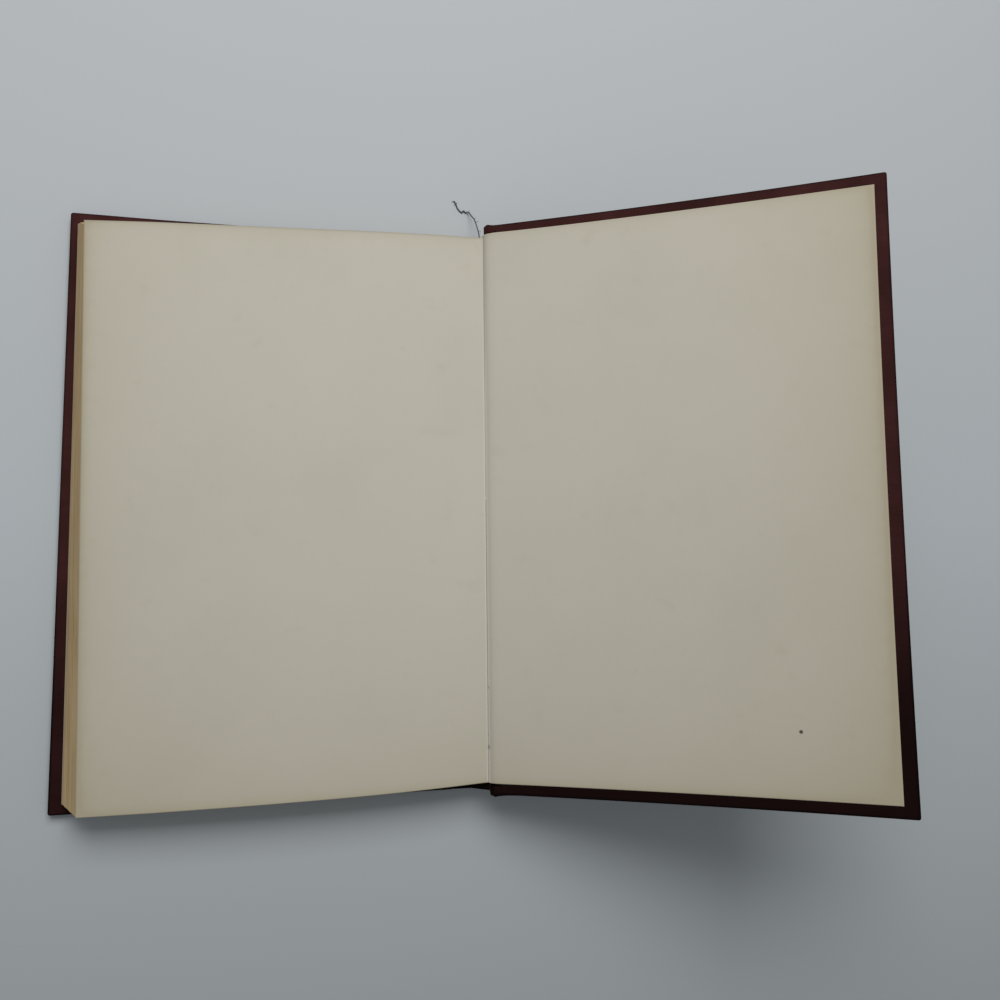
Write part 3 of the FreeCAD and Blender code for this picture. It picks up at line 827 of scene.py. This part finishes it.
def make_leaves(material):
    """Sewn leaves as one closed block whose three trimmed sides show every leaf.

    Each level's outline is the block's plan, blended from base to top by its
    share of the height.  A leaf's edge swells and its joints stand back, each
    leaf has its own small set-back and slow wave along the edge, and a deeper
    groove parts the gatherings.
    """
    rng = np.random.default_rng(12)
    levels = np.linspace(0, 1, 2 * LEAF_COUNT + 1)
    leaf_of = np.minimum((levels * LEAF_COUNT).astype(int), LEAF_COUNT - 1)
    joint = np.arange(len(levels)) % 2 == 0
    gathering_joint = np.arange(len(levels)) % (2 * GATHERING) == 0
    shares = stretches((0, 0.01, 0.99, 1), (3, 70, 3))
    sides = stretches((-1, -0.99, 0.99, 1), (3, 96, 3))
    n, m = len(shares), len(sides)

    ring_share = np.concatenate([shares[:-1], np.ones(m - 1), shares[:0:-1], np.zeros(m - 1)])
    ring_side = np.concatenate([-np.ones(n - 1), sides[:-1], np.ones(n - 1), sides[:0:-1]])
    count = len(ring_share)
    mix_level = levels[:, None]
    low = block_plan(BASE_PLAN, FRONT_PIVOT[0], ring_share, ring_side)[None]
    high = block_plan(TOP_PLAN, SPINE_TOP_X, ring_share, ring_side)[None]
    plan = low * (1 - mix_level[..., None]) + high * mix_level[..., None]
    ahead = np.roll(plan, -1, axis=1) - np.roll(plan, 1, axis=1)
    inward = np.stack([ahead[..., 1], -ahead[..., 0]], axis=-1)
    inward /= np.linalg.norm(inward, axis=-1, keepdims=True)
    place = distance_run(low[0])

    setback = 0.10 * MM * rng.random(LEAF_COUNT)[leaf_of][:, None]
    wavelength = (90 * MM * (0.5 + rng.random(LEAF_COUNT)))[leaf_of][:, None]
    phase = rng.random(LEAF_COUNT)[leaf_of][:, None]
    wave = 0.05 * MM * (1 + np.cos(2 * np.pi * (place / wavelength + phase)))
    groove = np.where(gathering_joint, 0.20, np.where(joint, 0.07, 0.0))[:, None] * MM
    fine = 0.02 * MM * (1 + random_waves(5, 14, 1.5 * MM, 9 * MM)(place, leaf_of[:, None] * 10 * MM))
    cut = (setback + wave + groove + fine) * (ring_share > 0)
    plan = plan + inward * cut[..., None]
    plan[..., 1] -= head_set_back(ring_share, ring_side, mix_level)
    plan[..., 1] += leaf_shift(ring_share, ring_side) * mix_level
    crown = block_crown(ring_share) * mix_level
    height = BLOCK_BASE + BLOCK_THICK * mix_level + crown
    rings = np.concatenate([plan, height[..., None]], axis=-1)

    ring_first = np.arange(len(levels) - 1)[:, None] * count
    start = (ring_first + np.arange(count)).ravel()
    after = (ring_first + (np.arange(count) + 1) % count).ravel()
    walls = np.stack([start, after, after + count, start + count], axis=1)

    grid_share, grid_side = np.meshgrid(shares, sides, indexing="ij")
    caps = []
    for plan_of, x, level, crowned in ((BASE_PLAN, FRONT_PIVOT[0], BLOCK_BASE, 0),
                                       (TOP_PLAN, SPINE_TOP_X, BLOCK_TOP, 1)):
        flat = block_plan(plan_of, x, grid_share, grid_side)
        flat[..., 1] += (crowned * leaf_shift(grid_share, grid_side)
                         - head_set_back(grid_share, grid_side, crowned))
        z = level + crowned * block_crown(grid_share)
        caps.append(np.concatenate([flat, z[..., None]], axis=-1))
    index = np.arange(n * m).reshape(n, m)
    border = np.concatenate([index[:-1, 0], index[-1, :-1], index[:0:-1, -1], index[0, :0:-1]])
    base_start = rings.shape[0] * count
    top_start = base_start + n * m
    caps[0].reshape(-1, 3)[border] = rings[0]
    caps[1].reshape(-1, 3)[border] = rings[-1]
    merge = np.arange(top_start + n * m)
    merge[base_start + border] = np.arange(count)
    merge[top_start + border] = (rings.shape[0] - 1) * count + np.arange(count)
    base = grid_quads(n, m, base_start)
    top = grid_quads(n, m, top_start)[:, ::-1]
    quads = merge[np.concatenate([walls, base, top])][:, ::-1]
    points = np.concatenate([grid.reshape(-1, 3) for grid in (rings, *caps)])
    wall_uv = np.stack(np.broadcast_arrays(place, BLOCK_THICK * mix_level), axis=-1)
    uv = np.concatenate([grid[..., :2].reshape(-1, 2) for grid in (wall_uv, *caps)])
    # painted shade between leaves, deeper between gatherings
    darkness = np.where(gathering_joint, 0.35, np.where(joint, 0.08, 0.0))[:, None] + 0 * cut
    gap = np.concatenate([darkness.ravel(), np.zeros(2 * n * m)])
    used, quads = np.unique(quads, return_inverse=True)
    quads = quads.reshape(-1, 4)
    return mesh_piece("leaf_block", points[used], quads, uv[used], material, {"gap": gap[used]})


# Loose thread, as in the solids, with more points where its kinks show
THREAD_DIAMETER = 0.45 * MM
THREAD_ROUTE = np.array([
    (76.5, 88.0, 9.0), (76.6, 91.6, 9.1), (76.5, 95.3, 9.0), (76.8, 99.3, 9.15), (77.3, 102.0, 9.2),
    (77.1, 104.5, 8.3), (76.8, 107.1, 6.9), (76.6, 109.4, 5.3), (76.3, 111.4, 3.8), (75.6, 112.9, 2.6),
    (75.1, 114.5, 1.3), (74.3, 115.5, 0.6), (73.6, 115.0, 0.35), (72.9, 116.0, 0.35), (72.0, 115.0, 0.3),
    (71.1, 115.9, 0.25), (70.2, 117.0, 0.25), (70.0, 118.3, 0.25), (69.1, 119.5, 0.25)]) * MM

# Hairs: share of the thread's length where one starts, and its tip from there in mm
FRAY = [(0.45, 0.9, -0.4, 0.3), (0.58, 1.0, 0.5, 0.4), (0.64, 0.6, 0.7, 0.2), (0.74, -0.3, 0.8, 0.1),
        (0.78, 0.5, 0.7, 0.1), (0.84, -0.6, -0.5, 0.0), (0.95, -0.8, 0.4, 0.05), (0.96, 0.4, 0.7, 0.05),
        (1.0, -0.8, -0.3, 0.05)]
HAIR_RADIUS = 0.08 * MM

# Loose ply: shares of the thread's length between which it winds, its turns and its distance out
WINDING = (0.62, 0.86)
WINDING_TURNS = 3.5
WINDING_RADIUS = 0.24 * MM


def spline_curve(name, lines):
    """Curve with a NURBS spline of order 3 for each line of control points, from its first to its last."""
    curve = bpy.data.curves.new(name, "CURVE")
    curve.dimensions = "3D"
    for points in lines:
        spline = curve.splines.new("NURBS")
        spline.points.add(len(points) - 1)
        spline.points.foreach_set("co", np.hstack([points, np.ones((len(points), 1))]).ravel())
        spline.order_u = 3
        spline.use_endpoint_u = True
        spline.resolution_u = 10
    return curve


def make_cords(name, lines, radius, resolution, material):
    """Round cords of one radius with closed ends, one along each line of control points."""
    curve = spline_curve(name, lines)
    curve.bevel_depth = radius
    curve.bevel_resolution = resolution
    curve.use_fill_caps = True
    curve.materials.append(material)
    return add_object(name, curve)


def route_points():
    """Points along the thread's own spline, and each one's share of its length."""
    curve = spline_curve("thread_line", [THREAD_ROUTE])
    line = bpy.data.objects.new("thread_line", curve)
    mesh = bpy.data.meshes.new_from_object(line)
    points = np.empty(3 * len(mesh.vertices))
    mesh.vertices.foreach_get("co", points)
    points = points.reshape(-1, 3)
    run = distance_run(points)
    bpy.data.meshes.remove(mesh)
    bpy.data.objects.remove(line)
    bpy.data.curves.remove(curve)
    return points, run / run[-1]


def make_fray(material):
    """Loose fibres: bent hairs from the thread's kinks and its end, and a ply that winds about it."""
    points, run = route_points()
    lines = []
    for share, x, y, z in FRAY:
        root = points_at(share, run, points)
        tip = root + np.array([x, y, z]) * MM
        bend = (root + tip) / 2 + np.array([-y, x, 0.0]) * 0.25 * MM
        lines.append(np.array([root, bend, tip]))
    turn = np.linspace(0, 2 * np.pi * WINDING_TURNS, 36)
    middle = points_at(np.linspace(*WINDING, len(turn)), run, points)
    middle[:, 2] += 0.1 * MM
    wind = np.stack([0 * turn, np.cos(turn), np.sin(turn)], axis=1) * WINDING_RADIUS
    lines.append(middle + wind)
    return make_cords("loose_thread_fray", lines, HAIR_RADIUS, 2, material)


def make_camera():
    """Camera at the photograph's place: above the gutter, tilted a little to the head and the right."""
    data = bpy.data.cameras.new("camera")
    data.sensor_width = 36.0
    data.lens = 33.3
    camera = add_object("camera", data)
    camera.location = (0.01233, -0.03157, 0.33931)
    camera.rotation_euler = Euler((math.radians(5.93), math.radians(-12.24), math.radians(-0.54)), "XYZ")
    bpy.context.scene.camera = camera


def area_lamp(name, place, target, size, power, colour):
    """Rectangular soft lamp at a place, facing a target."""
    data = bpy.data.lights.new(name, "AREA")
    data.shape = "RECTANGLE"
    data.size, data.size_y = size
    data.energy = power
    data.color = colour
    lamp = add_object(name, data)
    lamp.location = place
    away = np.array(target) - np.array(place)
    flat = math.hypot(away[0], away[1])
    lamp.rotation_euler = (math.atan2(flat, -away[2]), 0, math.atan2(away[1], away[0]) - math.pi / 2)


def make_studio():
    """Pale table, a broad window-like lamp from the head of the book, and even surrounding light."""
    size = 3.0
    mesh = bpy.data.meshes.new("table")
    corners = np.array([(-1, -1, 0), (1, -1, 0), (1, 1, 0), (-1, 1, 0)]) * size
    corners[:, 2] = -0.05 * MM
    mesh.from_pydata(corners.tolist(), [], [(0, 1, 2, 3)])
    mesh.materials.append(make_floor_material())
    table = add_object("table", mesh)
    area_lamp("window", (0.04, 0.56, 0.76), (0.04, 0.02, 0.0), (0.75, 0.55), 7.8, (1.0, 0.99, 0.975))
    world = bpy.data.worlds.new("surround")
    world.use_nodes = True
    background = world.node_tree.nodes["Background"]
    background.inputs["Color"].default_value = (0.93, 0.97, 1.0, 1)
    background.inputs["Strength"].default_value = 0.34
    bpy.context.scene.world = world
    bpy.context.scene.view_settings.view_transform = "Standard"


def dress_inner_nodes(board):
    """Finishes for the solids that stay: spine strip and spine lining."""
    for name, material in (("spine_strip", board), ("spine_lining", make_lining_material())):
        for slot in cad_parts[name].material_slots:
            slot.material = material


# Joint lines in mm: outer x and z, inner x and z, and the shift in x at the tail;
# bumps of the rolled ends: end, place, width and height
BACK_JOINT_ROWS = [
    (79.72, 10.55, 79.05, 10.95, 0.0),
    (79.98, 11.40, 79.30, 11.60, 0.0),
    (79.80, 12.10, 78.70, 12.20, 0.7),
    (79.20, 12.55, 78.15, 12.70, 1.5),
    (79.30, 13.00, 78.20, 13.10, 1.6),
    (80.30, 13.60, 78.75, 14.20, 1.0),
    (81.30, 14.20, 79.35, 14.95, 0.5),
    (82.20, 14.60, 80.60, 15.68, 0.1),
    (82.75, 14.20, 81.75, 16.32, 0.0),
    (83.45, 13.82, 82.60, 16.80, 0.0),
    (85.50, 15.00, 84.70, 16.50, 0.0),
    (88.60, 16.72, 88.20, 17.30, 0.0),
]
BACK_JOINT_BUMPS = ((1, 80.5, 1.1, 0.5), (-1, 80.4, 1.7, 0.55))
FRONT_JOINT_ROWS = [
    (61.15, 0.15, 61.15, 0.60, 0.0),
    (66.40, 0.15, 66.30, 1.60, 0.0),
    (67.40, 0.45, 67.00, 2.80, 0.0),
    (67.80, 1.35, 68.00, 2.88, 0.0),
    (69.50, 1.60, 69.60, 2.72, 0.0),
    (72.50, 1.65, 72.30, 2.65, 0.0),
    (74.50, 1.90, 73.80, 2.80, 0.0),
    (75.35, 2.50, 74.70, 3.00, 0.0),
    (75.70, 3.40, 75.10, 3.60, 0.0),
]


cloth = make_book_cloth_material()
paper = make_endpaper_material()
edges = make_page_edge_material()

rear_endpaper = make_rear_endpaper(paper)
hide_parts("rear_flyleaf", "rear_hinge_paper", "rear_pastedown")
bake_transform(rear_endpaper)

front_endpaper = make_front_endpaper(paper)
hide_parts("front_flyleaf", "front_hinge_paper", "front_pastedown")
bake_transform(front_endpaper)

leaves = make_leaves(edges)
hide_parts("text_block")
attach(leaves, "book_block")

back_cover_cloth = make_cover_cloth("back_cover_cloth_worn", BACK_COVER_BOW, on_back_cover, 40,
                                    cloth, BACK_COVER_SHADE)
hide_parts("back_cover_cloth")
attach(back_cover_cloth, "back_cover")

front_cover_cloth = make_cover_cloth("front_cover_cloth_worn", 0.0, on_front_cover, 50,
                                     cloth, FRONT_COVER_SHADE)
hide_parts("front_cover_cloth")
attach(front_cover_cloth, "front_cover")

spine_cloth = make_spine_cloth(cloth)
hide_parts("spine_cloth")
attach(spine_cloth, "book_block")

back_joint = make_joint_cloth("back_joint_cloth_worn", BACK_JOINT_ROWS, 0, BACK_JOINT_BUMPS,
                              BACK_COVER_SLIP, BACK_JOINT_HEIGHT, cloth, 61)
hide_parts("back_joint_cloth")
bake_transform(back_joint)

front_joint = make_joint_cloth("front_joint_cloth_worn", FRONT_JOINT_ROWS, -1, (), 0.5 * MM,
                               FRONT_JOINT_HEIGHT - 1.0 * MM, cloth, 62)
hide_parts("front_joint_cloth")
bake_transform(front_joint)

grey_thread = make_thread_material()
thread = make_cords("loose_thread_cord", [THREAD_ROUTE], THREAD_DIAMETER / 2, 3, grey_thread)
fray = make_fray(grey_thread)
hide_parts("loose_thread")
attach(thread, "book_block")
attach(fray, "book_block")

pulp = make_board_material()
back_board = make_board("back_board_pulp", BACK_COVER_BOW, on_back_cover, pulp)
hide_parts("back_board")
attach(back_board, "back_cover")

front_board = make_board("front_board_pulp", 0.0, on_front_cover, pulp)
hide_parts("front_board")
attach(front_board, "front_cover")

dress_inner_nodes(pulp)
make_camera()
make_studio()
